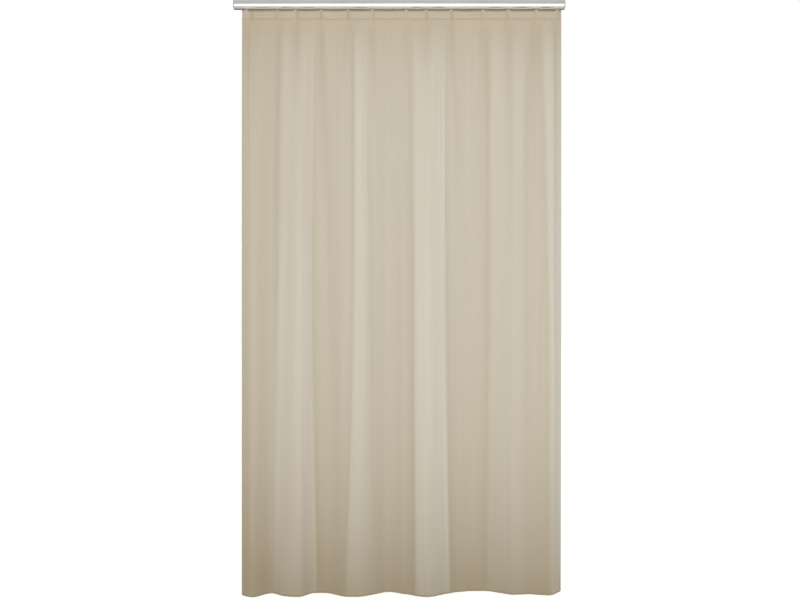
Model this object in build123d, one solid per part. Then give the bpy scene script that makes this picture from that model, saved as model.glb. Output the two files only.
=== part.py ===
"""A sheer curtain hung on a round-sided track: one sewn panel with its heading tape and weighted hem,
carried by plastic hooks on gliders that run in the slot under the track.

The origin is the centre of the track's top face, where it meets the ceiling. X runs along the track,
the room side is -Y and +Z is up. All sizes are millimetres.
"""
from build123d import *
from math import ceil, exp, pi, sin, sqrt, tanh
import os

# Curtain as it hangs, drawn closed
PANEL_WIDTH = 961.0
PANEL_DROP = 1760.0
CLOTH_THICKNESS = 0.9
SIDE_HEM_WIDTH = 22.0
FOLD_DEPTH = 44.0
HEADING_BULGE = 7.0
HEADING_HEIGHT = 33.0
HEADING_GAP = 5.0

# Weighted band along the bottom edge
WEIGHT_BAND_HEIGHT = 5.0
WEIGHT_BAND_THICKNESS = 2.4

# Heading tape, sewn over the turned-down top of the panel, with a woven loop for each hook
TAPE_HEIGHT = 26.0
TAPE_THICKNESS = 0.8
TAPE_TOP_MARGIN = 3.0
TAPE_SIDE_MARGIN = 2.0
LOOP_HEIGHT = 7.0
LOOP_DROP = 13.0
LOOP_THICKNESS = 0.7
LOOP_SEAM = 0.7
SEWN_GAP = 0.2

# Track: an aluminium tube with round sides, a flat top and a slot underneath
TRACK_HEIGHT = 27.0
TRACK_SIDE_RADIUS = 15.5
TRACK_WALL = 1.6
TRACK_LIP = 2.0
TRACK_CORNER = 0.6
TRACK_OVERHANG_LEFT = 27.0
TRACK_OVERHANG_RIGHT = 12.0
SLOT_WIDTH = 6.0
SCREW_SPACING = 700.0
SCREW_HOLE_RADIUS = 2.25

# End caps
CAP_PLATE = 3.0
CAP_PLUG = 6.0
CAP_EDGE = 0.8
CAP_CLEARANCE = 0.15

# Hooks, bent from a flat plastic bar
HOOK_WIDTH = 3.0
HOOK_BAR = 1.8
HOOK_CLEARANCE = 0.3
HOOK_NOSE = 4.0
HOOK_LEG_OVER = 3.0

# Gliders, and the stop that holds the curtain's fixed end
GLIDER_LENGTH = 10.0
GLIDER_HEAD_REST = 3.0
GLIDER_HEAD_THICKNESS = 2.4
GLIDER_HEAD_CORNER = 2.5
GLIDER_NECK_LENGTH = 4.6
GLIDER_NECK_DROP = 0.8
RUNNING_CLEARANCE = 0.3
SEAT_CLEARANCE = 0.1
EYE_PLAY = 0.55
EYE_RIM = 2.2
EYE_CORNER = 2.6
EYE_THICKNESS = 3.0
STOP_LENGTH = 16.0
STOP_HEIGHT = 9.0

# Overrun of every cut
CUT = 5.0

# Where the hooks sit along the heading, as shares of the drawn width
HOOK_SHARES = (0.013, 0.110, 0.166, 0.248, 0.332, 0.408, 0.514, 0.577, 0.655, 0.755, 0.834, 0.922, 0.988)
# Which way the cloth bows between one hook and the next: 1 into the room, -1 to the window
BOW_SHARES = (0.5, 1.0, 1.0, -1.0, 1.0, -1.0, 1.0, 1.0, -1.0, 1.0, 1.0, 1.0)
# Crests and valleys of the folds at the bottom edge: share of the width, share of the fold depth
FOLD_SHARES = (
    (0.000, -0.10), (0.038, 0.70), (0.091, -0.40), (0.169, 0.95), (0.263, -0.55), (0.357, 0.95),
    (0.461, -0.70), (0.583, 1.00), (0.721, -0.95), (0.850, 0.50), (0.897, -0.15), (0.953, 0.70),
    (1.000, -0.80),
)
# How square the folds are: the higher, the flatter their faces and the steeper their sides
FOLD_SQUARENESS = 2.0
# Shares of the drop over which the heading's bows die out and the folds open
BOW_FADE_SHARE = 0.14
FOLD_GROWTH_SHARE = 0.24
# Heights of the panel's cross-sections below the heading, as shares of the drop
SECTION_SHARES = (0.0, 0.06, 0.13, 0.23, 0.38, 0.62, 1.0)
# Points along a cross-section of the full width, and the share of the width that a slope is measured over
SECTION_POINTS = 78
SLOPE_SHARE = 0.001

# Places that follow from the sizes above
TRACK_LENGTH = PANEL_WIDTH + TRACK_OVERHANG_LEFT + TRACK_OVERHANG_RIGHT
TRACK_BOTTOM = -TRACK_HEIGHT
LIP_TOP = TRACK_BOTTOM + TRACK_LIP
PANEL_LEFT = TRACK_OVERHANG_LEFT - TRACK_LENGTH / 2
PANEL_RIGHT = PANEL_LEFT + PANEL_WIDTH
PANEL_TOP = TRACK_BOTTOM - HEADING_GAP
PANEL_BOTTOM = PANEL_TOP - PANEL_DROP
HOOK_PLACES = [PANEL_LEFT + share * PANEL_WIDTH for share in HOOK_SHARES]
EYE_HOLE_RADIUS = sqrt((HOOK_WIDTH / 2) ** 2 + (HOOK_BAR / 2) ** 2) + EYE_PLAY
EYE_RADIUS = EYE_HOLE_RADIUS + EYE_RIM
EYE_HEIGHT = TRACK_BOTTOM - GLIDER_NECK_DROP - EYE_RADIUS
HOOK_BEND = HOOK_BAR
NOSE_Y = EYE_THICKNESS / 2 + HOOK_CLEARANCE
STEM_Y = -NOSE_Y
LEG_Y = STEM_Y - HOOK_BAR - LOOP_THICKNESS - 2 * HOOK_CLEARANCE
TAPE_Y = LEG_Y - HOOK_BAR - HOOK_CLEARANCE - TAPE_THICKNESS / 2
CLOTH_FRONT = -CLOTH_THICKNESS / 2
CLOTH_BACK = CLOTH_THICKNESS / 2
DOUBLED_BACK = CLOTH_BACK + CLOTH_THICKNESS
TAPE_OFFSET = DOUBLED_BACK + SEWN_GAP + TAPE_THICKNESS / 2
CLOTH_Y = TAPE_Y - TAPE_OFFSET
TAPE_TOP = PANEL_TOP - TAPE_TOP_MARGIN
LOOP_TOP = TAPE_TOP - LOOP_DROP
LOOP_BOTTOM = LOOP_TOP - LOOP_HEIGHT


def bow(x):
    """Depth of the cloth between two hooks at the heading, towards the room."""
    for left, right, way in zip(HOOK_PLACES, HOOK_PLACES[1:], BOW_SHARES):
        if left <= x <= right:
            return way * HEADING_BULGE * sin(pi * (x - left) / (right - left)) ** 2
    return 0.0


def fold(x):
    """Depth of the cloth at the bottom edge, towards the room: flat faces joined by steep sides."""
    across = min(max((x - PANEL_LEFT) / PANEL_WIDTH, 0.0), 1.0)
    for (start, near), (end, far) in zip(FOLD_SHARES, FOLD_SHARES[1:]):
        if across <= end:
            turn = tanh(FOLD_SQUARENESS * (2 * (across - start) / (end - start) - 1)) / tanh(FOLD_SQUARENESS)
            return FOLD_DEPTH * (near + far + (far - near) * turn) / 2


def cloth_y(x, fallen):
    """Where the middle of the cloth lies at x, a share of the drop below the heading."""
    bowed = exp(-((fallen / BOW_FADE_SHARE) ** 2))
    opened = (1 - exp(-fallen / FOLD_GROWTH_SHARE)) / (1 - exp(-1 / FOLD_GROWTH_SHARE))
    return CLOTH_Y - bowed * bow(x) - opened * fold(x)


def stations(left, right):
    """Places along the cloth from left to right: every hook, and steps between that follow the folds."""
    stops = [left] + [x for x in HOOK_PLACES if left < x < right] + [right]
    places = [left]
    for near, far in zip(stops, stops[1:]):
        steps = ceil(SECTION_POINTS * (far - near) / PANEL_WIDTH)
        places += [near + (far - near) * step / steps for step in range(1, steps + 1)]
    return places


def cloth_points(places, fallen, offset, z):
    """Points of the cloth's cross-section, moved out along its normal towards the window."""
    reach = SLOPE_SHARE * PANEL_WIDTH
    points = []
    for x in places:
        slope = (cloth_y(x + reach, fallen) - cloth_y(x - reach, fallen)) / (2 * reach)
        length = sqrt(1 + slope ** 2)
        points.append((x - offset * slope / length, cloth_y(x, fallen) + offset / length, z))
    return points


def ribbon(places, fallen, front, back, z):
    """A strip of the cloth's cross-section of even thickness, between two offsets from its middle."""
    room_side = cloth_points(places, fallen, front, z)
    window_side = cloth_points(places, fallen, back, z)
    return make_face(Polyline(*room_side, *reversed(window_side), close=True))


def hemmed_section(fallen, z):
    """The panel's cross-section: single cloth, turned back double along both sides."""
    room_side = cloth_points(PANEL_PLACES, fallen, CLOTH_FRONT, z)
    window_side = cloth_points(LEFT_HEM_PLACES, fallen, DOUBLED_BACK, z)
    window_side += cloth_points(SINGLE_PLACES, fallen, CLOTH_BACK, z)
    window_side += cloth_points(RIGHT_HEM_PLACES, fallen, DOUBLED_BACK, z)
    return make_face(Polyline(*room_side, *reversed(window_side), close=True))


LEFT_HEM_PLACES = stations(PANEL_LEFT, PANEL_LEFT + SIDE_HEM_WIDTH)
SINGLE_PLACES = stations(PANEL_LEFT + SIDE_HEM_WIDTH, PANEL_RIGHT - SIDE_HEM_WIDTH)
RIGHT_HEM_PLACES = stations(PANEL_RIGHT - SIDE_HEM_WIDTH, PANEL_RIGHT)
PANEL_PLACES = LEFT_HEM_PLACES + SINGLE_PLACES[1:-1] + RIGHT_HEM_PLACES


def barrel(radius, top, bottom):
    """The track's round-sided outline between two heights, across the track."""
    height = top - bottom
    middle = Pos(0, TRACK_BOTTOM / 2) * Circle(radius)
    return Plane.YZ * (middle & Pos(0, (top + bottom) / 2) * Rectangle(2 * radius, height))


def across_track(face, start, length):
    """A solid with that cross-section, from one place along the track to another."""
    return extrude(Pos(start, 0, 0) * face, amount=length, dir=(1, 0, 0))


def hollow(clearance, top=-TRACK_WALL):
    """The track's hollow, less a clearance all round."""
    return barrel(TRACK_SIDE_RADIUS - TRACK_WALL - clearance, top - clearance, LIP_TOP + clearance)


def track():
    """The extruded rail: a round-sided tube, slotted underneath, with two screw holes in its top."""
    start = CAP_PLATE - TRACK_LENGTH / 2
    length = TRACK_LENGTH - 2 * CAP_PLATE
    outline = barrel(TRACK_SIDE_RADIUS, 0, TRACK_BOTTOM)
    outline = fillet(outline.vertices(), TRACK_CORNER)
    body = across_track(outline, start, length) - across_track(hollow(0), start - CUT, length + 2 * CUT)
    body -= Pos(0, 0, TRACK_BOTTOM) * Box(TRACK_LENGTH, SLOT_WIDTH, 2 * TRACK_LIP + CUT)
    for side in (-1, 1):
        body -= Pos(side * SCREW_SPACING / 2, 0, 0) * Cylinder(SCREW_HOLE_RADIUS, 2 * TRACK_WALL + CUT)
    return body


def end_cap(side):
    """A cap with a bevelled rim, and a plug that fills the end of the hollow. side is -1 left, 1 right."""
    end = side * TRACK_LENGTH / 2
    outline = barrel(TRACK_SIDE_RADIUS, 0, TRACK_BOTTOM)
    plate = extrude(Pos(end, 0, 0) * outline, amount=CAP_PLATE, dir=(-side, 0, 0))
    rim = plate.faces().sort_by(Axis.X)[0 if side < 0 else -1]
    plate = chamfer(rim.edges(), CAP_EDGE)
    inner = end - side * CAP_PLATE
    plug = extrude(Pos(inner, 0, 0) * hollow(CAP_CLEARANCE), amount=CAP_PLUG, dir=(-side, 0, 0))
    return plate + plug


def eye(x):
    """The tab under the slot, with the hole that a hook hangs in, and the neck that carries it."""
    tab = chamfer(Rectangle(2 * EYE_RADIUS, 2 * EYE_RADIUS).vertices(), EYE_CORNER) - Circle(EYE_HOLE_RADIUS)
    tab = extrude(Plane.XZ * Pos(x, EYE_HEIGHT) * tab, amount=EYE_THICKNESS / 2, both=True)
    neck_top = LIP_TOP + SEAT_CLEARANCE
    neck_bottom = EYE_HEIGHT + EYE_HOLE_RADIUS + EYE_RIM / 2
    neck_height = neck_top - neck_bottom
    neck = Pos(x, 0, neck_top - neck_height / 2) * Box(GLIDER_NECK_LENGTH, EYE_THICKNESS, neck_height)
    guide_width = SLOT_WIDTH - 2 * RUNNING_CLEARANCE
    guide_height = neck_top - TRACK_BOTTOM
    guide = Pos(x, 0, neck_top - guide_height / 2) * Box(GLIDER_NECK_LENGTH, guide_width, guide_height)
    return tab + neck + guide


def glider(x):
    """A glider: a head with cut corners that rides on the slot's lips, and the eye below."""
    head = Box(GLIDER_LENGTH, SLOT_WIDTH + 2 * GLIDER_HEAD_REST, GLIDER_HEAD_THICKNESS)
    head = chamfer(head.edges().filter_by(Axis.Z), GLIDER_HEAD_CORNER)
    place = LIP_TOP + SEAT_CLEARANCE + GLIDER_HEAD_THICKNESS / 2
    return Pos(x, 0, place) * head + eye(x)


def end_stop(x):
    """A block jammed in the hollow, with an eye for the hook at the curtain's fixed end."""
    block = across_track(hollow(SEAT_CLEARANCE, LIP_TOP + STOP_HEIGHT), x - STOP_LENGTH / 2, STOP_LENGTH)
    return block + eye(x)


def hook(x):
    """A hook: its crook hangs in the eye, its stem drops behind the tape, its leg turns up into a loop."""
    seat = EYE_HEIGHT - sqrt(EYE_HOLE_RADIUS ** 2 - (HOOK_WIDTH / 2) ** 2) + SEAT_CLEARANCE
    crook = seat + HOOK_BAR
    turn = LOOP_BOTTOM - HOOK_CLEARANCE
    outer_corners = [
        (NOSE_Y + HOOK_BAR, crook),
        (STEM_Y - HOOK_BAR, crook),
        (STEM_Y, turn - HOOK_BAR),
        (LEG_Y - HOOK_BAR, turn - HOOK_BAR),
    ]
    profile = make_face(Polyline(
        (NOSE_Y, seat - HOOK_NOSE),
        (NOSE_Y + HOOK_BAR, seat - HOOK_NOSE),
        *outer_corners[:2],
        (STEM_Y - HOOK_BAR, turn),
        (LEG_Y, turn),
        (LEG_Y, LOOP_TOP + HOOK_LEG_OVER),
        (LEG_Y - HOOK_BAR, LOOP_TOP + HOOK_LEG_OVER),
        *reversed(outer_corners[2:]),
        (STEM_Y, seat),
        (NOSE_Y, seat),
        close=True,
    ))
    rounded = [v for v in profile.vertices() if any((v.X, v.Y) == corner for corner in outer_corners)]
    profile = fillet(rounded, HOOK_BEND)
    return extrude(Pos(x, 0, 0) * (Plane.YZ * profile), amount=HOOK_WIDTH / 2, both=True)


def curtain_panel():
    """The cloth: a heading turned over double, then a loft that opens into the folds at the bottom edge."""
    top = ribbon(PANEL_PLACES, 0, CLOTH_FRONT, DOUBLED_BACK, PANEL_TOP)
    heading = extrude(top, amount=HEADING_HEIGHT, dir=(0, 0, -1))
    start = PANEL_TOP - HEADING_HEIGHT
    fall = PANEL_DROP - HEADING_HEIGHT - WEIGHT_BAND_HEIGHT
    sections = [hemmed_section(share, start - fall * share) for share in SECTION_SHARES]
    return heading + loft(sections, ruled=True)


def weight_band():
    """The weighted band that closes the bottom edge and keeps the folds hanging straight."""
    half = WEIGHT_BAND_THICKNESS / 2
    top = PANEL_BOTTOM + WEIGHT_BAND_HEIGHT
    strip = ribbon(PANEL_PLACES, 1, -half, half, top)
    return extrude(strip, amount=WEIGHT_BAND_HEIGHT, dir=(0, 0, -1))


def tape_loop(x):
    """A woven loop on the back of the tape that a hook's leg passes up through."""
    tape_back = TAPE_Y + TAPE_THICKNESS / 2
    gap_width = HOOK_WIDTH + 2 * HOOK_CLEARANCE
    gap_depth = HOOK_BAR + 2 * HOOK_CLEARANCE
    depth = gap_depth + LOOP_THICKNESS + LOOP_SEAM
    middle = (LOOP_TOP + LOOP_BOTTOM) / 2
    outside = Box(gap_width + 2 * LOOP_THICKNESS, depth, LOOP_HEIGHT)
    outside = Pos(x, tape_back - LOOP_SEAM + depth / 2, middle) * outside
    inside = Box(gap_width, gap_depth + 2 * LOOP_SEAM, LOOP_HEIGHT + CUT)
    inside = Pos(x, tape_back + gap_depth / 2, middle) * inside
    return outside - inside


def heading_tape():
    """The woven tape across the back of the heading, with its loops."""
    half = TAPE_THICKNESS / 2
    places = [PANEL_LEFT + TAPE_SIDE_MARGIN] + PANEL_PLACES[1:-1] + [PANEL_RIGHT - TAPE_SIDE_MARGIN]
    strip = ribbon(places, 0, TAPE_OFFSET - half, TAPE_OFFSET + half, TAPE_TOP)
    tape = extrude(strip, amount=TAPE_HEIGHT, dir=(0, 0, -1))
    for x in HOOK_PLACES:
        tape += tape_loop(x)
    return tape


def save(name, shape):
    export_step(shape, f"parts/{name}.step")


os.makedirs("parts", exist_ok=True)
save("track", track())
save("end_cap_left", end_cap(-1))
save("end_cap_right", end_cap(1))
save("end_stop", end_stop(HOOK_PLACES[0]))
for number, place in enumerate(HOOK_PLACES, start=1):
    save(f"hook_{number:02d}", hook(place))
    if number > 1:
        save(f"glider_{number:02d}", glider(place))
save("curtain_panel", curtain_panel())
save("heading_tape", heading_tape())
save("weight_band", weight_band())
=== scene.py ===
import bpy
import math
import numpy as np
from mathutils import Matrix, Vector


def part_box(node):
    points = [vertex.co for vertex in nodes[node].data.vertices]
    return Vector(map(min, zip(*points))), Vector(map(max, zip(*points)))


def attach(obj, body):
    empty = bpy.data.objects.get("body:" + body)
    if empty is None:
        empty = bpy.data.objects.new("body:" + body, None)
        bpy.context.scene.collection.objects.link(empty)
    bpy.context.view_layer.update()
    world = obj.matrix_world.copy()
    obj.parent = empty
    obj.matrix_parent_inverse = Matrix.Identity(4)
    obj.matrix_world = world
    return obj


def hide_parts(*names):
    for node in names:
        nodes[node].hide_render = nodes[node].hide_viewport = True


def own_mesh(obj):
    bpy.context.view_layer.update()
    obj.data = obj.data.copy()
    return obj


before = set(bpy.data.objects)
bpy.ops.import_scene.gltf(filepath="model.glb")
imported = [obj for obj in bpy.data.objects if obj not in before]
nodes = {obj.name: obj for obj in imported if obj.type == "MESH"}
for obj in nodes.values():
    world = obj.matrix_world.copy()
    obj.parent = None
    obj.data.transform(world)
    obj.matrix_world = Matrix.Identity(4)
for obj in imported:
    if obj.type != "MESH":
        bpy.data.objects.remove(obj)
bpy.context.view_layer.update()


# Track: one length of aluminium, extruded as a slotted tube with round sides and anodised silver.
# It is screwed to the ceiling through its flat top. Its channel and its two lips' undersides are painted
# dull brown as shade, and a pale, warm reflection of the cloth under it is painted on to its lower edge.

SILVER, BRIGHT_SILVER = (0.44, 0.445, 0.435, 1), (0.49, 0.49, 0.475, 1)
PAINTED_CLOTH_LIGHT, PAINTED_SHADE_BROWN = (0.90, 0.855, 0.77, 1), (0.07, 0.055, 0.04, 1)
CHANNEL_RADIUS, SHADED_UNDERSIDE_HEIGHT = 0.0132, 0.0001
# The painted reflection of the cloth is full at the first of these heights above the bottom of the track and
# gone at the second, and fades from the first of these distances inside the cloth's side to the second
# outside it.
LIT_HEIGHTS, LIT_ENDS = (0.0014, 0.0036), (0.0125, 0.0045)
TAPE_INSET = 0.002
track_low, track_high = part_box("track")
track_axis = (track_low.z + track_high.z) / 2
tape_low, tape_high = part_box("heading_tape")
cloth_middle = (tape_low.x + tape_high.x) / 2
cloth_half = (tape_high.x - tape_low.x) / 2 + TAPE_INSET


def new_finish(name):
    """A new material, with its node tree and its main shader."""
    material = bpy.data.materials.new(name)
    material.use_nodes = True
    return material, material.node_tree, material.node_tree.nodes["Principled BSDF"]


def wire(tree, kind, inputs, **settings):
    """Adds one node, sets it, and links or fills its sockets."""
    node = tree.nodes.new(kind)
    for setting, value in settings.items():
        setattr(node, setting, value)
    for socket, value in inputs.items():
        if isinstance(value, bpy.types.NodeSocket):
            tree.links.new(value, node.inputs[socket])
        else:
            node.inputs[socket].default_value = value
    return node


def worked_out(tree, operation, *values, **settings):
    """One step of arithmetic."""
    return wire(tree, "ShaderNodeMath", dict(enumerate(values)), operation=operation, **settings).outputs[0]


def worked_out_in_space(tree, operation, *values):
    """One step of arithmetic on directions or places."""
    return wire(tree, "ShaderNodeVectorMath", dict(enumerate(values)), operation=operation).outputs


def noise(tree, place, scale, detail):
    """A cloudy pattern."""
    inputs = {"Vector": place, "Scale": scale, "Detail": detail}
    return wire(tree, "ShaderNodeTexNoise", inputs).outputs["Fac"]


def moved(tree, place, scale, location=(0, 0, 0)):
    """Places scaled and shifted, which draws out or centres a pattern that is read there."""
    inputs = {"Vector": place, "Scale": scale, "Location": location}
    return wire(tree, "ShaderNodeMapping", inputs).outputs["Vector"]


def ramp(tree, value, none, full):
    """A share that grows evenly from 0 at one value to 1 at another."""
    inputs = {"Value": value, "From Min": none, "From Max": full}
    return wire(tree, "ShaderNodeMapRange", inputs).outputs["Result"]


def spread(tree, pattern, low, high):
    """Stretches the middle of a pattern, from 0.3 to 0.7, over a range of values."""
    inputs = {"Value": pattern, "From Min": 0.3, "From Max": 0.7, "To Min": low, "To Max": high}
    return wire(tree, "ShaderNodeMapRange", inputs).outputs["Result"]


def mixed(tree, share, first, second):
    """Two colours mixed by a share."""
    return wire(tree, "ShaderNodeMix", {0: share, 6: first, 7: second}, data_type="RGBA").outputs[2]


def cover(tree, shader, colour, roughness, relief, strength, depth):
    """Links a finish's colour, roughness and relief to its shader."""
    bump = wire(tree, "ShaderNodeBump", {"Height": relief, "Strength": strength, "Distance": depth})
    tree.links.new(colour, shader.inputs["Base Color"])
    tree.links.new(roughness, shader.inputs["Roughness"])
    tree.links.new(bump.outputs["Normal"], shader.inputs["Normal"])
    return bump


def dress(names, material):
    """Gives CAD nodes their finish."""
    for name in names:
        nodes[name].material_slots[0].material = material


silver, tree, shader = new_finish("anodised_silver")
place = wire(tree, "ShaderNodeTexCoord", {}).outputs["Object"]
die_lines = noise(tree, moved(tree, place, (4, 1600, 1600)), 1.0, 3.0)
cloudy = noise(tree, place, 9.0, 2.0)
colour = mixed(tree, spread(tree, cloudy, 0.0, 1.0), SILVER, BRIGHT_SILVER)
apart = wire(tree, "ShaderNodeSeparateXYZ", {"Vector": place}).outputs
# Painted reflection: the cloth's pale, warm light is mixed into the colour of the track's lower edge.
lower_edge = ramp(tree, apart["Z"], track_low.z + LIT_HEIGHTS[1], track_low.z + LIT_HEIGHTS[0])
off_middle = worked_out(tree, "ABSOLUTE", worked_out(tree, "SUBTRACT", apart["X"], cloth_middle))
over_cloth = ramp(tree, off_middle, cloth_half + LIT_ENDS[1], cloth_half - LIT_ENDS[0])
colour = mixed(tree, worked_out(tree, "MULTIPLY", lower_edge, over_cloth), colour, PAINTED_CLOTH_LIGHT)
# Painted shade: the underside and the inside of the channel are coloured dark brown.
underside = worked_out(tree, "LESS_THAN", apart["Z"], track_low.z + SHADED_UNDERSIDE_HEIGHT)
across_track = moved(tree, place, (0, 1, 1), (0, 0, -track_axis))
from_axis = worked_out_in_space(tree, "LENGTH", across_track)["Value"]
channel = worked_out(tree, "LESS_THAN", from_axis, CHANNEL_RADIUS)
colour = mixed(tree, worked_out(tree, "MAXIMUM", underside, channel), colour, PAINTED_SHADE_BROWN)
cover(tree, shader, colour, spread(tree, die_lines, 0.34, 0.44), die_lines, 0.12, 0.0001)
shader.inputs["Metallic"].default_value = 1.0
dress(["track"], silver)


# End caps: two plugs of grey plastic pressed into the ends of the track.
# They are moulded with a fine matt grain, and are a little darker than the metal.

CAP_GREY, CAP_PALE = (0.36, 0.37, 0.375, 1), (0.42, 0.43, 0.43, 1)
grey_plastic, tree, shader = new_finish("moulded_grey")
place = wire(tree, "ShaderNodeTexCoord", {}).outputs["Object"]
grain = noise(tree, place, 1800.0, 2.0)
cloudy = noise(tree, place, 140.0, 2.0)
colour = mixed(tree, spread(tree, cloudy, 0.0, 1.0), CAP_GREY, CAP_PALE)
cover(tree, shader, colour, spread(tree, grain, 0.34, 0.48), grain, 0.25, 0.00008)
dress(["end_cap_left", "end_cap_right"], grey_plastic)


# End stop, gliders and hooks: small mouldings of milky nylon. The stop is jammed in the track, the gliders
# hang in its slot by their heads, and each hook hangs in the eye under one of them.

NYLON, PALE_NYLON = (0.74, 0.69, 0.59, 1), (0.83, 0.79, 0.71, 1)
hook_names = [f"hook_{number:02d}" for number in range(1, 14)]
glider_names = [f"glider_{number:02d}" for number in range(2, 14)]
nylon, tree, shader = new_finish("milky_nylon")
place = wire(tree, "ShaderNodeTexCoord", {}).outputs["Object"]
cloudy = noise(tree, place, 260.0, 3.0)
colour = mixed(tree, spread(tree, cloudy, 0.0, 1.0), NYLON, PALE_NYLON)
cover(tree, shader, colour, spread(tree, cloudy, 0.32, 0.46), cloudy, 0.2, 0.0002)
shader.inputs["Subsurface Weight"].default_value = 0.2
shader.inputs["Subsurface Radius"].default_value = (0.002, 0.0018, 0.0014)
dress(["end_stop"] + glider_names + hook_names, nylon)


# Curtain panel: one width of beige voile. Its top is turned down double for the heading and its sides are
# turned back as narrow hems, all sewn with one row of stitches. It hangs from the hooks and is gathered by
# about a sixth, so that it bows between them and opens lower down into soft vertical folds.

LEFT, RIGHT = cloth_middle - cloth_half, cloth_middle + cloth_half
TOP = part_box("curtain_panel")[1].z
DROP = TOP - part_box("weight_band")[0].z
HEADING, STITCHES, SIDE_HEM = 0.0285, 0.0246, 0.022
LAYER, VOILE_THICKNESS, CLOTH_Y = 0.0006, 0.0003, -0.00935
HOOKS = np.array([(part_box(name)[0].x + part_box(name)[1].x) / 2 for name in hook_names])
# How far the heading bows between two hooks, and the share of the drop over which the bows run out. Each
# span has its own share of that bow, and a few lie back from the room.
BOW_DEPTH, BOW_FADE = 0.007, 0.14
BOWS = np.array([0.5, 1.0, 1.0, -0.4, 1.0, -0.4, 1.0, 1.0, -0.4, 1.0, 1.0, 1.0])
# How far the top edge sags between two hooks, the length below the heading over which that runs out, and how
# wide each hook holds the cloth still.
SAG_DEPTH, SAG_FADE, HELD_WIDTH = 0.0022, 0.09, 0.018
# Sides of the flat-faced folds, as places along the rail where each starts to show, halfway down, and at the
# bottom edge: first the left side of a fold, then its right side. The last fold runs out at the side hem.
SIDES = np.array([
    [-0.356, -0.371, -0.382], [-0.254, -0.261, -0.2465], [-0.136, -0.136, -0.162], [-0.097, -0.091, -0.077],
    [0.038, 0.0445, 0.0485], [0.1395, 0.1395, 0.1545], [0.273, 0.272, 0.265], [0.379, 0.3775, 0.377],
    [0.428, 0.4505, 0.455]])
# How soft each of those sides is above and at the bottom edge, and how much painted shade the cloth beside
# it gets there.
EDGES = np.array([
    [0.0026, 0.0026, 0.00, 0.00], [0.0012, 0.0014, 0.21, 0.38], [0.0016, 0.0026, 0.13, 0.20],
    [0.0026, 0.0060, 0.00, 0.02], [0.0016, 0.0026, 0.13, 0.18], [0.0012, 0.0018, 0.00, 0.18],
    [0.0022, 0.0032, 0.22, 0.26], [0.0020, 0.0090, 0.10, 0.02], [0.0020, 0.0034, 0.12, 0.14]])
# How far the bottom edge swings into the room under those folds and between them. It also hangs a little
# lower where it stands forward, and its right corner is drawn up.
BOTTOM = np.array([
    [LEFT, 0.010], [-0.438, 0.030], [-0.385, -0.018], [-0.347, 0.010], [-0.302, 0.022], [-0.255, -0.024],
    [-0.220, -0.018], [-0.167, 0.016], [-0.130, 0.021], [-0.076, -0.006], [-0.031, -0.030], [0.014, -0.008],
    [0.087, 0.021], [0.141, -0.014], [0.177, -0.030], [0.219, -0.040], [0.267, -0.044], [0.303, -0.026],
    [0.343, -0.004], [0.385, -0.006], [0.448, 0.008], [RIGHT, -0.020]])
LOWER_FORWARD, RAISED_CORNER = 0.035, 0.006
# The swing opens quickly under the heading and slowly after that: each one's share of it, and the share of
# the drop over which it opens quickly.
QUICK_SHARE, SLOW_SHARE, QUICK_DROP = 0.80, 0.15, 0.22
# How far the face of a fold stands out, the share of the drop over which it starts to, and how wide its
# sides slope away.
FACE_RISE, FACE_START, FACE_SLOPE = 0.012, 0.10, 0.012
# How much painted light makes the face of each fold lighter than the cloth around it, just below the heading
# and at the bottom edge.
FACES = np.array([[0.06, 0.20], [0.21, 0.17], [0.16, 0.42], [0.09, 0.12], [0.22, 0.36]])
# Strips beside those sides with painted light or shade, lighter or deeper than the rest of a face: side,
# distance to its right, half width, how much lighter, and the share of the drop from which the strip shows.
LIGHTER = (
    (0, -0.004, 0.007, 0.15, 0.0), (0, 0.013, 0.010, 0.26, 0.3), (0, 0.045, 0.016, -0.13, 0.0),
    (1, -0.022, 0.018, 0.16, 0.2), (5, -0.008, 0.014, 0.14, 0.0))
# Creases that run down from the heading: hook number, lean in metres over the whole drop, reach as a share
# of the drop, half width, depth. They start just below the stitches, and deepen over a short length.
CREASES = (
    (1, 0.03, 0.10, 0.009, 0.004), (2, 0.00, 0.30, 0.006, 0.0025), (3, 0.08, 0.11, 0.009, 0.006),
    (4, 0.05, 0.40, 0.007, 0.007), (5, -0.20, 0.07, 0.008, 0.005), (6, 0.10, 0.13, 0.008, 0.006),
    (7, -0.10, 0.07, 0.008, 0.004), (8, 0.02, 0.10, 0.010, 0.005), (9, 0.12, 0.16, 0.008, 0.007),
    (10, 0.04, 0.14, 0.008, 0.005), (11, 0.00, 0.45, 0.008, 0.006), (12, -0.06, 0.13, 0.012, 0.006),
    (13, 0.00, 0.30, 0.008, 0.004))
CREASE_FROM, CREASE_START = 0.026, 0.03
# Fine ripples of the gathered cloth: length, depth, phase, drift down the drop. They grow over a short
# length from the top edge, and are strongest under the heading.
RIPPLES = (
    (0.083, 0.0016, 0.7, 1.1), (0.058, 0.0013, 2.1, -1.7), (0.037, 0.0008, 4.4, 2.3),
    (0.023, 0.0005, 1.3, -2.9), (0.0146, 0.0003, 5.2, 3.7))
RIPPLE_START = 0.06
# Painted shade in the tuck each hook draws into the heading: distance to the right of the hook, how dark it
# is.
TUCK_SHADES = (
    (0.018, 0.9), (-0.0015, 0.9), (0.006, 0.8), (0.0, 1.0), (0.001, 1.1), (0.003, 0.6), (-0.003, 0.2),
    (0.001, 1.0), (0.002, 1.0), (-0.006, 0.5), (-0.003, 0.8), (-0.004, 0.5), (0.003, 0.9))
TUCK_SHADE_WIDTH = 0.0042
# Wrinkles across slack lengths of the heading: middle, half length, depth.
SLACKS = ((-0.415, 0.032, 0.0012), (0.205, 0.036, 0.0009), (0.445, 0.026, 0.0009), (0.37, 0.03, 0.0005))
WRINKLE_LENGTH = 0.0095
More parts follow.
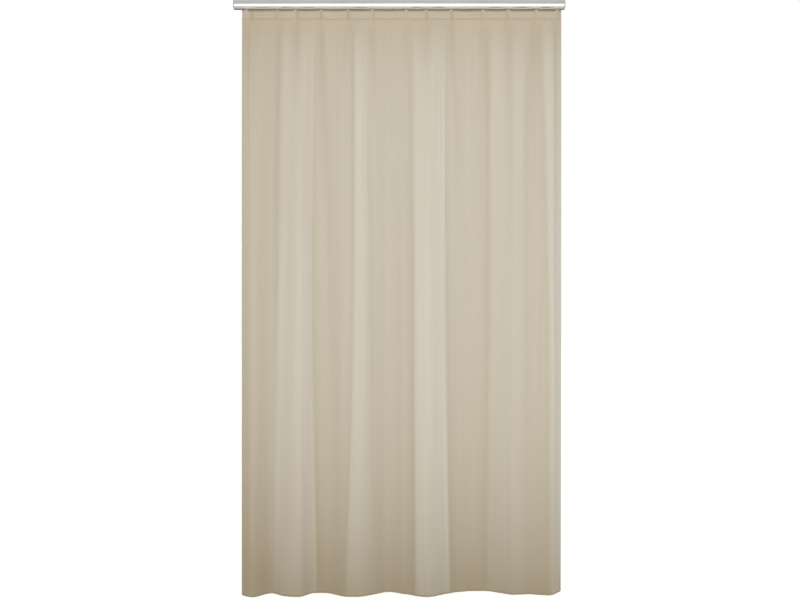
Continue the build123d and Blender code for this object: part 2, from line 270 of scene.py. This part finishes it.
# The row of stitches draws the cloth in: depth, half width, two lengths over which that comes and goes.
# A soft roll stands out below it: how far below, its height, half width.
PUCKER_DEPTH, PUCKER_WIDTH, PUCKER_LENGTHS = 0.0012, 0.0018, (0.0074, 0.061)
ROLL_BELOW, ROLL_HEIGHT, ROLL_WIDTH = 0.008, 0.0014, 0.006


def hump(distance, width):
    """A soft ridge."""
    return np.exp(-(distance / width) ** 2)


def waves(distance, length, phase=0.0):
    """Even waves of a length."""
    return np.sin(2 * math.pi * distance / length + phase)


def between_hooks(x):
    """Which span between two hooks a place lies in, and how far along it, from 0 to 1."""
    span = np.clip(np.searchsorted(HOOKS, x) - 1, 0, len(HOOKS) - 2)
    return span, np.clip((x - HOOKS[span]) / (HOOKS[span + 1] - HOOKS[span]), 0, 1)


def smooth_through(table, x):
    """A smooth line through a table of places and depths, level at its crests and valleys."""
    places, depths = table[:, 0], table[:, 1]
    part = np.clip(np.searchsorted(places, x) - 1, 0, len(places) - 2)
    slopes = np.diff(depths) / np.diff(places)
    before, after = slopes[:-1], slopes[1:]
    inner = np.where(before * after > 0, 2 * before * after / (before + after + 1e-12), 0)
    level = np.concatenate([[slopes[0]], inner, [slopes[-1]]])
    wide = places[part + 1] - places[part]
    t = np.clip((x - places[part]) / wide, 0, 1)
    start, end = depths[part], depths[part + 1]
    return ((1 + 2 * t) * (1 - t) ** 2 * start + t * (1 - t) ** 2 * wide * level[part]
            + t * t * (3 - 2 * t) * end + t * t * (t - 1) * wide * level[part + 1])


def side_at(number, fallen):
    """Where one side of a fold lies at a share of the drop."""
    top, middle, bottom = SIDES[number]
    return top + fallen * (4 * middle - 3 * top - bottom) + 2 * fallen ** 2 * (top - 2 * middle + bottom)


def sides_of(fold):
    """The numbers of a fold's sides."""
    return range(2 * fold, min(2 * fold + 2, len(SIDES)))


def past_side(x, fallen, side):
    """How far outside one side of a fold a place lies, and how soft that side is there."""
    outward = x - side_at(side, fallen)
    softness = EDGES[side, 0] + (EDGES[side, 1] - EDGES[side, 0]) * fallen
    return outward if side % 2 else -outward, softness


def beyond_fold(x, fallen, fold):
    """How far outside the flat face of a fold a place lies, rounded off at the edges of the face."""
    beyond = 0 * x
    for side in sides_of(fold):
        outside, softness = past_side(x, fallen, side)
        beyond = beyond + softness * np.logaddexp(0, outside / softness)
    return beyond


def fallen_at(s):
    """The share of the drop below the heading."""
    return np.clip((s - HEADING) / (DROP - HEADING), 0, 1)


def crease_depth(x, s):
    """How deep the creases under the hooks are, below the stitches of the heading."""
    fallen = fallen_at(s)
    depth = 0 * x
    for number, lean, reach, width, deep in CREASES:
        line = HOOKS[number - 1] + lean * fallen
        depth = depth + deep * hump(x - line, width * (1 + 2 * fallen)) * np.exp(-(fallen / reach) ** 1.5)
    below_stitches = np.clip((s - CREASE_FROM) / CREASE_START, 0, 1)
    return depth * below_stitches ** 0.8


def at_hooks(x, width):
    """A soft ridge at each hook."""
    return sum(hump(x - hook_x, width) for hook_x in HOOKS)


def pinch_depth(x, s):
    """How the heading stands forward over each hook and is drawn in beside it."""
    forward = 0.0011 * at_hooks(x, 0.003)
    drawn_in = 0.0009 * at_hooks(x - 0.006, 0.0025)
    return (forward - drawn_in) * hump(s, 0.05)


def wrinkle_depth(x, s):
    """How far the wrinkles across the slack lengths of the heading stand out."""
    depth = 0 * x
    for middle, half, deep in SLACKS:
        depth = depth + deep * hump(x - middle, half) * waves(s, WRINKLE_LENGTH, 9 * x)
    return depth * np.clip(1 - s / HEADING, 0, 1) ** 0.5


def cloth_depth(x, s):
    """How far the cloth stands into the room at x, a length s down from its top edge."""
    fallen = fallen_at(s)
    span, along = between_hooks(x)
    flat_at_hooks = np.where(BOWS[span] < 0, 5, 2)
    depth = BOW_DEPTH * BOWS[span] * np.sin(math.pi * along) ** flat_at_hooks * hump(fallen, BOW_FADE)
    opened = QUICK_SHARE * (1 - np.exp(-fallen / QUICK_DROP)) + SLOW_SHARE * fallen
    depth = depth + opened * smooth_through(BOTTOM, x)
    raised = FACE_RISE * (1 - np.exp(-fallen / FACE_START)) * (1 - 0.5 * fallen ** 8)
    for fold in range(len(FACES)):
        depth = depth + raised * np.exp(-beyond_fold(x, fallen, fold) / FACE_SLOPE)
    depth = depth - crease_depth(x, s)
    in_heading = np.clip(1.5 - s / HEADING, 0, 1)
    free = 1 - np.clip(at_hooks(x, HELD_WIDTH) * in_heading, 0, 1)
    strong = (0.45 + 0.55 * np.exp(-fallen / 0.25)) * np.clip(s / RIPPLE_START, 0.15, 1)
    for length, deep, phase, drift in RIPPLES:
        slow = 0.6 + 0.4 * waves(x, 5.3 * length, 2 * phase)
        depth = depth + deep * slow * waves(x, length, phase + drift * fallen) * strong * free
    depth = depth + wrinkle_depth(x, s) * free + pinch_depth(x, s)
    pucker = 1 + 0.5 * waves(x, PUCKER_LENGTHS[0]) * waves(x, PUCKER_LENGTHS[1])
    depth = depth - PUCKER_DEPTH * pucker * free * hump(s - STITCHES, PUCKER_WIDTH)
    return depth + ROLL_HEIGHT * hump(s - STITCHES - ROLL_BELOW, ROLL_WIDTH)


def cloth_at(x, s, back):
    """Points of the cloth's surface, moved back along its normal towards the window."""
    step = 0.0005
    slope = -(cloth_depth(x + step, s) - cloth_depth(x - step, s)) / (2 * step)
    steep = np.sqrt(1 + slope ** 2)
    span, along = between_hooks(x)
    sag = SAG_DEPTH * np.clip(BOWS[span], 0.1, 1) * np.sin(math.pi * along) ** 2
    sag = sag * np.exp(-np.clip(s - HEADING, 0, None) / SAG_FADE)
    lower = LOWER_FORWARD * smooth_through(BOTTOM, x) - RAISED_CORNER * hump(x - RIGHT, SIDE_HEM)
    sag = sag + lower * fallen_at(s) ** 6
    y = CLOTH_Y - cloth_depth(x, s)
    return np.stack([x - back * slope / steep, y + back / steep, TOP - s - sag], -1)


def painted_light_and_shade(x, s):
    """Painted light and shade: deeper low down, under the heading and beside folds, lighter on faces."""
    fallen = fallen_at(s)
    # Painted shade: deeper low down and under the heading, where less light reaches the cloth.
    low_down = 0.42 * fallen ** 4 + 0.19 * fallen ** 16
    under_heading = 0.40 * np.exp(-fallen / 0.05)
    # Painted shade in the creases and wrinkles.
    creased = 26 * crease_depth(x, s) - 320 * wrinkle_depth(x, s)
    # Painted shade: deeper to the left of the folds and low on the left.
    left_of_folds = 0.14 / (1 + np.exp((x - side_at(0, fallen)) / 0.004))
    low_left = 0.2 * fallen ** 2 * hump(x - LEFT, 0.04)
    # Painted light: lighter at the top edge over each hook.
    over_hooks = 0.6 * at_hooks(x, 0.004) * hump(s, 0.008)
    deep = 0.35 + low_down + under_heading + creased + left_of_folds + low_left - over_hooks
    # Painted shade beside the sides of the folds, and painted light on their faces.
    starts = 1 - np.exp(-fallen / 0.05)
    for fold, (lighter_top, lighter_bottom) in enumerate(FACES):
        face = 1 + 0 * x
        for side in sides_of(fold):
            outside, softness = past_side(x, fallen, side)
            within = 1 / (1 + np.exp(np.clip(outside / softness, -50, 50)))
            face = face * within
            shade = EDGES[side, 2] + (EDGES[side, 3] - EDGES[side, 2]) * fallen ** 2
            deep = deep + starts * shade * (1 - within) * np.exp(-np.clip(outside, 0, None) / 0.018)
        deep = deep - face * starts * (lighter_top + (lighter_bottom - lighter_top) * fallen ** 2)
    # Painted light and shade on the strips beside the sides.
    above_bottom = 1 - fallen ** 8
    for side, beside, half, lighter, first_shown in LIGHTER:
        shown = np.clip((fallen - first_shown) / 0.25, 0, 1) * above_bottom
        deep = deep - lighter * shown * hump(x - side_at(side, fallen) - beside, half)
    # Painted light: lighter over the right hem.
    right_edge_lit = np.clip((fallen - 0.2) / 0.25, 0, 1) * above_bottom
    deep = deep - 0.34 * right_edge_lit * hump(x - RIGHT, SIDE_HEM)
    return np.clip(deep, 0, 1)


def painted_shade_lines(x, s):
    """Painted shade: the top edge in the shade of the track, the hooks' tucks and the pucker along the
    stitches.
    """
    over_hooks = at_hooks(x, 0.004)
    tucks = sum(dark * hump(x - hook_x - beside, TUCK_SHADE_WIDTH) for hook_x, (beside, dark) in zip(HOOKS, TUCK_SHADES))
    tucks = tucks * np.clip(1.6 - s / HEADING, 0, 1) * np.clip(s / 0.004, 0, 1)
    top_edge = np.clip(1.2 - s / 0.004, 0, 1) * (1 - over_hooks)
    stitch_shade = hump(s - STITCHES, 0.0022) * (1 - 0.5 * over_hooks)
    return np.clip(top_edge + 0.38 * tucks + 0.08 * stitch_shade, 0, 1)


def doubled_tone(x, s):
    """How warm the cloth shows where it lies double, in the heading and hems, and just below the heading."""
    in_hem = (x < LEFT + SIDE_HEM) | (x > RIGHT - SIDE_HEM)
    return np.where(s < HEADING, 0.75, 0.40 * np.exp((HEADING - s) / 0.05)) + 0.08 * in_hem


def sheet_of(name, columns, rows):
    """A grid of cells, with the vertices' column and row numbers, the first row at the top."""
    bpy.ops.object.select_all(action="DESELECT")
    bpy.ops.mesh.primitive_grid_add(x_subdivisions=columns - 1, y_subdivisions=rows - 1, size=2)
    piece = bpy.context.object
    piece.name = name
    corners = np.zeros(len(piece.data.vertices) * 3)
    piece.data.vertices.foreach_get("co", corners)
    corners = corners.reshape(-1, 3)
    column = np.rint((corners[:, 0] + 1) / 2 * (columns - 1)).astype(int)
    row = np.rint((1 - corners[:, 1]) / 2 * (rows - 1)).astype(int)
    return piece, column, row


def shape(piece, points, flat, tones):
    """Puts a sheet's vertices in place, and keeps where each lay on the flat cloth and its tones."""
    mesh = piece.data
    mesh.vertices.foreach_set("co", np.ascontiguousarray(points, float).ravel())
    corner = np.zeros(len(mesh.loops), int)
    mesh.loops.foreach_get("vertex_index", corner)
    mesh.uv_layers[0].data.foreach_set("uv", np.ascontiguousarray(flat[corner], float).ravel())
    for name, tone in tones.items():
        kept = mesh.attributes.new(name, "FLOAT", "POINT")
        kept.data.foreach_set("value", np.ascontiguousarray(tone, np.float32))
    mesh.polygons.foreach_set("use_smooth", [True] * len(mesh.polygons))
    mesh.update()


def thicken(piece, thickness):
    """Gives a sheet its thickness, half to each side."""
    thick = piece.modifiers.new("thickness", "SOLIDIFY")
    thick.thickness = thickness
    thick.offset = 0.0


# The columns of the panel's grid keep to the sides of the folds: each has the stop it starts from, its share
# of the way to the next stop, its distance beyond that, and its layer. Stops are the two edges of the cloth
# and the sides of the folds between them. The hems are turned back round the edges in small steps.
STEPS_BETWEEN, HEM_STEP, LAST_INSET = (11, 25, 28, 7, 31, 23, 29, 24, 12, 4), 0.0035, 0.0018
nearest = [0.0012, 0.0024, 0.0038, 0.0055, 0.0080]
close_by = [-offset for offset in reversed(nearest)] + [0] + nearest
hem_insets = [SIDE_HEM - HEM_STEP * step for step in range(6)] + [LAST_INSET]
turned_back = [(inset, 1) for inset in hem_insets] + [(0.0006, 0.85), (0, 0.5), (0.0006, 0.15)]
last_stop = len(SIDES) + 1
columns = [(0, 0, inset, layer) for inset, layer in turned_back]
columns = columns + [(0, 0, inset, 0) for inset in reversed(hem_insets)]
for stop, steps in enumerate(STEPS_BETWEEN):
    start = SIDE_HEM if stop == 0 else nearest[-1]
    end = SIDE_HEM if stop + 1 == last_stop else nearest[-1]
    shares = [step / steps for step in range(1, steps)]
    columns = columns + [(stop, share, start - (start + end) * share, 0) for share in shares]
    if stop + 1 < last_stop:
        columns = columns + [(stop + 1, 0, offset, 0) for offset in close_by]
columns = columns + [(last_stop, 0, -inset, 0) for inset in hem_insets]
columns = columns + [(last_stop, 0, -inset, layer) for inset, layer in reversed(turned_back)]
columns = np.array(columns)

# The rows run up the back of the heading, over its top in three small steps, down its front, and on down the
# drop, ever wider apart, with three close rows that keep the bottom edge crisp.
TOP_TURN, FIRST_ROW = 0.0018, 0.0003
behind_s = np.linspace(HEADING, FIRST_ROW, 9)
over_s, over_v, over_layer = [-0.0018, -0.0022, -0.0018], [-0.0002, -0.0006, -0.001], [0.85, 0.5, 0.15]
heading_s = np.linspace(FIRST_ROW, HEADING, 17)
bottom_s = DROP - np.array([0.009, 0.0045, 0.003])
fall_s = HEADING + (bottom_s[-1] - HEADING) * np.linspace(0, 1, 103)[1:-1] ** 1.35
front_s = np.concatenate([heading_s, fall_s, bottom_s])
panel_s = np.concatenate([behind_s, over_s, front_s])
panel_v = np.concatenate([behind_s, over_v, -TOP_TURN - front_s])
top_layer = np.concatenate([np.ones(len(behind_s)), over_layer, np.zeros(len(front_s))])

panel, column, row = sheet_of("curtain_voile", len(columns), len(panel_s))
s = panel_s[row]
stop, share, offset, side_layer = columns[column].T
stop = stop.astype(int)
sides = [side_at(number, fallen_at(s)) for number in range(len(SIDES))]
stops = np.stack([LEFT + 0 * s] + sides + [RIGHT + 0 * s])
vertex = np.arange(len(s))
here, beyond = stops[stop, vertex], stops[np.minimum(stop + 1, last_stop), vertex]
x = here + share * (beyond - here) + offset
flat_stops = np.array([LEFT] + list(SIDES[:, 1]) + [RIGHT, RIGHT])
panel_u = flat_stops[stop] + offset + share * (flat_stops[stop + 1] - flat_stops[stop])
folded_at = np.where(panel_u < 0, LEFT, RIGHT)
panel_u = np.where(side_layer >= 0.5, 2 * folded_at - panel_u, panel_u)
shape(panel, cloth_at(x, s, LAYER * (side_layer + top_layer[row])), np.stack([panel_u, panel_v[row]], -1),
      {"doubled": doubled_tone(x, s), "painted_light_and_shade": painted_light_and_shade(x, s), "shade_lines": painted_shade_lines(x, s)})
thicken(panel, VOILE_THICKNESS)


def bands(tree, place, scale, direction):
    """Even bands, such as yarns or stitches."""
    inputs = {"Vector": place, "Scale": scale}
    return wire(tree, "ShaderNodeTexWave", inputs, bands_direction=direction).outputs["Fac"]


def kept_tone(tree, name):
    """A tone that a sheet keeps at its vertices."""
    return wire(tree, "ShaderNodeAttribute", {}, attribute_name=name).outputs["Fac"]


BEIGE, PALE_BEIGE, SLUB = (0.665, 0.622, 0.545, 1), (0.705, 0.662, 0.585, 1), (0.72, 0.685, 0.60, 1)
SHADED_BEIGE, DOUBLED_BEIGE = (0.508, 0.432, 0.307, 1), (0.665, 0.576, 0.446, 1)
LINE_SHADE_BEIGE, THREAD = (0.31, 0.262, 0.19, 1), (0.43, 0.365, 0.27, 1)
THREAD_HALF, HEM_MARGIN, STITCH_SCALE, STITCH_GAP = 0.0004, 0.002, 98.0, 0.3
WEAVE_SCALE, FOLD_SHADING, GLOW_SHARE, OPEN_SHARE = 520.0, 0.5, 0.2, 0.06
voile, tree, shader = new_finish("beige_voile")
flat = wire(tree, "ShaderNodeTexCoord", {}).outputs["UV"]
warp, weft = bands(tree, flat, WEAVE_SCALE, "X"), bands(tree, flat, WEAVE_SCALE, "Y")
weave = worked_out(tree, "MULTIPLY", warp, weft)
streaks = noise(tree, moved(tree, flat, (150, 1.6, 1)), 1.0, 3.0)
slubs = noise(tree, moved(tree, flat, (5, 420, 1)), 1.0, 3.0)
colour = mixed(tree, spread(tree, streaks, 0.0, 1.0), BEIGE, PALE_BEIGE)
colour = mixed(tree, spread(tree, slubs, 0.0, 0.35), colour, SLUB)
# Painted light and shade, kept at the vertices, deepen or lighten the beige.
colour = mixed(tree, kept_tone(tree, "painted_light_and_shade"), colour, SHADED_BEIGE)
colour = mixed(tree, kept_tone(tree, "doubled"), colour, DOUBLED_BEIGE)
# Painted shade on the top edge, in the hooks' tucks and along the stitches.
colour = mixed(tree, kept_tone(tree, "shade_lines"), colour, LINE_SHADE_BEIGE)
# Sewing thread: a row of short stitches across the heading, and one down each side hem, a little short of
# the hem's inner edge.
centred = worked_out_in_space(tree, "ADD", flat, (-cloth_middle, TOP_TURN / 2, 0))[0]
centred = worked_out_in_space(tree, "ABSOLUTE", centred)[0]
centred = wire(tree, "ShaderNodeSeparateXYZ", {"Vector": centred}).outputs
from_edge = worked_out(tree, "ABSOLUTE", worked_out(tree, "SUBTRACT", centred["X"], cloth_half))
seams = ((centred["Y"], STITCHES + TOP_TURN / 2, "X"), (from_edge, SIDE_HEM - HEM_MARGIN, "Y"))
stitches = []
for from_fold, distance, direction in seams:
    on_seam = worked_out(tree, "COMPARE", from_fold, distance, THREAD_HALF)
    on_top = worked_out(tree, "GREATER_THAN", bands(tree, flat, STITCH_SCALE, direction), STITCH_GAP)
    stitches.append(worked_out(tree, "MULTIPLY", on_seam, on_top))
thread = worked_out(tree, "MAXIMUM", *stitches)
colour = mixed(tree, thread, colour, THREAD)
relief = worked_out(tree, "MULTIPLY_ADD", thread, 2.5, weave)
yarns = cover(tree, shader, colour, spread(tree, slubs, 0.62, 0.78), relief, 0.25, 0.0001)
shader.inputs["Specular IOR Level"].default_value = 0.25
shader.inputs["Sheen Weight"].default_value = 0.15
shader.inputs["Sheen Roughness"].default_value = 0.4
# Light scatters inside so thin a cloth, so its folds shade only about half as much as those of a solid one.
facing = wire(tree, "ShaderNodeNewGeometry", {}).outputs["Normal"]
facing = worked_out_in_space(tree, "MULTIPLY", facing, (FOLD_SHADING, 1, 1))[0]
facing = worked_out_in_space(tree, "NORMALIZE", facing)[0]
tree.links.new(facing, yarns.inputs["Normal"])
glow = wire(tree, "ShaderNodeBsdfTranslucent", {"Color": colour, "Normal": facing})
cloth = wire(tree, "ShaderNodeMixShader", {0: GLOW_SHARE, 1: shader.outputs[0], 2: glow.outputs[0]})
open_weave = wire(tree, "ShaderNodeBsdfTransparent", {})
sheer = wire(tree, "ShaderNodeMixShader", {0: OPEN_SHARE, 1: cloth.outputs[0], 2: open_weave.outputs[0]})
tree.links.new(sheer.outputs[0], tree.nodes["Material Output"].inputs["Surface"])
panel.data.materials.append(voile)


def hang(piece, node):
    """A soft piece takes its node's place, hung with the track and curtain."""
    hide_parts(node)
    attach(piece, "track_and_curtain")
    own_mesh(piece)


hang(panel, "curtain_panel")


# Heading tape: a woven polyester ribbon with two draw cords, sewn across the back of the heading.
# A loop is woven into it behind each hook, and the hook's leg is pushed up through the loop.

TAPE_FROM, TAPE_TO, TAPE_BEHIND, TAPE_THICKNESS = 0.003, 0.0275, 0.00195, 0.0006
CORDS, CORD_WIDTH, CORD_RISE = (0.0085, 0.0215), 0.0011, 0.0006
TAPE_CREAM, PALE_CREAM, FUZZ = (0.62, 0.57, 0.48, 1), (0.78, 0.74, 0.66, 1), (0.82, 0.79, 0.72, 1)
tape_x = np.linspace(LEFT + TAPE_INSET, RIGHT - TAPE_INSET, 241)
tape_s = np.linspace(TAPE_FROM, TAPE_TO, 27)
tape, column, row = sheet_of("heading_tape_woven", len(tape_x), len(tape_s))
x, s = tape_x[column], tape_s[row]
corded = sum(hump(s - cord_s, CORD_WIDTH) for cord_s in CORDS)
tape_points = cloth_at(x, s, TAPE_BEHIND + CORD_RISE * corded)
tape_points[:, 1] = tape_points[:, 1] + pinch_depth(x, s)
shape(tape, tape_points, np.stack([x, -s], -1), {})
thicken(tape, TAPE_THICKNESS)

webbing, tree, shader = new_finish("woven_tape")
flat = wire(tree, "ShaderNodeTexCoord", {}).outputs["UV"]
basket = worked_out(tree, "MULTIPLY", bands(tree, flat, 260.0, "X"), bands(tree, flat, 300.0, "Y"))
fuzz = noise(tree, flat, 900.0, 2.0)
colour = mixed(tree, basket, TAPE_CREAM, PALE_CREAM)
colour = mixed(tree, spread(tree, fuzz, 0.0, 0.3), colour, FUZZ)
cover(tree, shader, colour, spread(tree, fuzz, 0.6, 0.8), basket, 0.5, 0.0003)
shader.inputs["Sheen Weight"].default_value = 0.1
tape.data.materials.append(webbing)
hang(tape, "heading_tape")

# A loop's line seen from above: from beside its middle, round the hook's leg, to where it joins the tape.
# The other side is its mirror image.
LOOP_BELOW, LOOP_HEIGHT = 0.013, 0.007
loop_side = [(0.0015, -0.00435), (0.0021, -0.0052), (0.00225, -0.0062), (0.0026, -0.0069), (0.0030, -0.0070)]
loop_line = [(-aside, y) for aside, y in reversed(loop_side)] + [(0.0, -0.00425)] + loop_side
loop_aside, loop_y = np.array(loop_line).T
loop_top = tape_high.z - LOOP_BELOW
loop_z = np.linspace(loop_top, loop_top - LOOP_HEIGHT, 8)
for number, hook_x in enumerate(HOOKS, 1):
    loop, column, row = sheet_of(f"tape_loop_{number:02d}", len(loop_line), len(loop_z))
    loop_x = hook_x + loop_aside[column]
    shape(loop, np.stack([loop_x, loop_y[column], loop_z[row]], -1), np.stack([loop_x, loop_z[row]], -1), {})
    thicken(loop, TAPE_THICKNESS)
    loop.data.materials.append(webbing)
    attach(loop, "track_and_curtain" if number == 1 else f"carrier_{number:02d}")


# Weighted band: a thin braided tube with lead shot in it, oversewn along the bottom edge with the cloth's
# own yarn. Its weight keeps the folds hanging straight.

HALF_THICK, HALF_HIGH, SHOT_LENGTH, BRAID_ROUND = 0.0012, 0.0025, 0.009, 0.012
around = np.linspace(0, 2 * math.pi, 13)
band_x = np.linspace(LEFT, RIGHT, 321)
band, column, row = sheet_of("weighted_band", len(band_x), len(around))
x, turn = band_x[column], around[row]
from_end = np.minimum(column, len(band_x) - 1 - column)
closed = np.clip(from_end / 2, 0.02, 1) ** 0.5
size = (1 + 0.06 * waves(x, SHOT_LENGTH)) * closed
band_points = cloth_at(x, np.full(len(x), DROP - HALF_HIGH), HALF_THICK * size * np.cos(turn))
band_points[:, 2] = band_points[:, 2] + HALF_HIGH * size * np.sin(turn)
# Painted shade: the band takes the full shaded beige all round, as a dark line along the hem.
shape(band, band_points, np.stack([x, BRAID_ROUND * turn / (2 * math.pi)], -1),
      {"doubled": 0 * turn, "painted_light_and_shade": 1 + 0 * turn, "shade_lines": 0 * turn})
bpy.ops.object.select_all(action="DESELECT")
band.select_set(True)
bpy.context.view_layer.objects.active = band
bpy.ops.object.mode_set(mode="EDIT")
bpy.ops.mesh.select_all(action="SELECT")
bpy.ops.mesh.remove_doubles(threshold=0.00004)
bpy.ops.mesh.normals_make_consistent(inside=False)
bpy.ops.object.mode_set(mode="OBJECT")
band.data.materials.append(voile)
hang(band, "weight_band")


# Studio: a white floor under the hem and a white surround. A soft lamp in front lights the middle of the
# cloth, daylight from behind lays its shadow on the floor, and a white card below gives the rail its shine.
# The camera stands where the photograph was taken from, level with the middle of the cloth.

FLOOR_Z, FLOOR_LIFT = -1.835, 0.37
FLOOR_WHITE, WHITE, WARM_WHITE = (0.8, 0.8, 0.79, 1), (1, 1, 1, 1), (1.0, 0.975, 0.92, 1)
bpy.ops.object.select_all(action="DESELECT")
bpy.ops.mesh.primitive_plane_add(size=40, location=(0, 0, FLOOR_Z))
floor = bpy.context.object
floor.name = "floor"
pale, tree, shader = new_finish("pale_floor")
shader.inputs["Base Color"].default_value = FLOOR_WHITE
shader.inputs["Roughness"].default_value = 0.9
rays = wire(tree, "ShaderNodeLightPath", {}).outputs
seen = worked_out(tree, "MAXIMUM", rays["Is Camera Ray"], rays["Is Glossy Ray"])
strength = worked_out(tree, "MULTIPLY", seen, FLOOR_LIFT)
lift = wire(tree, "ShaderNodeEmission", {"Color": WHITE, "Strength": strength})
lit = wire(tree, "ShaderNodeAddShader", {0: shader.outputs[0], 1: lift.outputs[0]})
tree.links.new(lit.outputs[0], tree.nodes["Material Output"].inputs["Surface"])
floor.data.materials.append(pale)

# The surround is plain white where it is seen, mirrored or seen through the cloth, and a dimmer, warmer
# white where it lights the cloth.
world = bpy.data.worlds.new("white_surround")
bpy.context.scene.world = world
world.use_nodes = True
tree = world.node_tree
rays = wire(tree, "ShaderNodeLightPath", {}).outputs
mirrored = worked_out(tree, "ADD", rays["Is Glossy Ray"], rays["Is Transmission Ray"])
mirrored = worked_out(tree, "SUBTRACT", mirrored, rays["Is Diffuse Ray"])
seen = worked_out(tree, "ADD", rays["Is Camera Ray"], mirrored, use_clamp=True)
dim = tree.nodes["Background"]
dim.inputs["Color"].default_value = WARM_WHITE
dim.inputs["Strength"].default_value = 0.55
white = wire(tree, "ShaderNodeBackground", {"Color": WHITE, "Strength": 1.0})
surround = wire(tree, "ShaderNodeMixShader", {0: seen, 1: dim.outputs[0], 2: white.outputs[0]})
tree.links.new(surround.outputs[0], tree.nodes["World Output"].inputs["Surface"])


def lamp(kind, location, tilt, energy):
    """A lamp that points straight down, turned by an angle in degrees: 90 shines level from the room."""
    bpy.ops.object.light_add(type=kind, location=location, rotation=(math.radians(tilt), 0, 0))
    bpy.context.object.data.energy = energy
    return bpy.context.object


key_light = lamp("SPOT", (0.05, -3.0, -0.72), 90, 198)
key_light.data.spot_size = math.radians(54)
key_light.data.spot_blend = 0.8
key_light.data.shadow_soft_size = 0.4
key_light.scale = (1.6, 1, 1)
key_light.visible_camera = False
window_light = lamp("SUN", (0, 2, 3), -30, 1.1)
window_light.data.angle = math.radians(40)
window_light.visible_glossy = False
card = lamp("AREA", (0.0, -1.6, -0.85), 118, 7.5)
card.data.shape = "RECTANGLE"
card.data.size = 3.4
card.data.size_y = 0.45
card.visible_camera = False
card.visible_diffuse = False
card.visible_transmission = False

bpy.ops.object.camera_add(location=(0.0024, -3.61, -0.9045), rotation=(math.radians(90), 0, 0))
camera = bpy.context.object
camera.data.lens = 53.8
camera.data.sensor_width = 36
camera.data.sensor_fit = "HORIZONTAL"
bpy.context.scene.camera = camera
bpy.context.scene.view_settings.view_transform = "Standard"
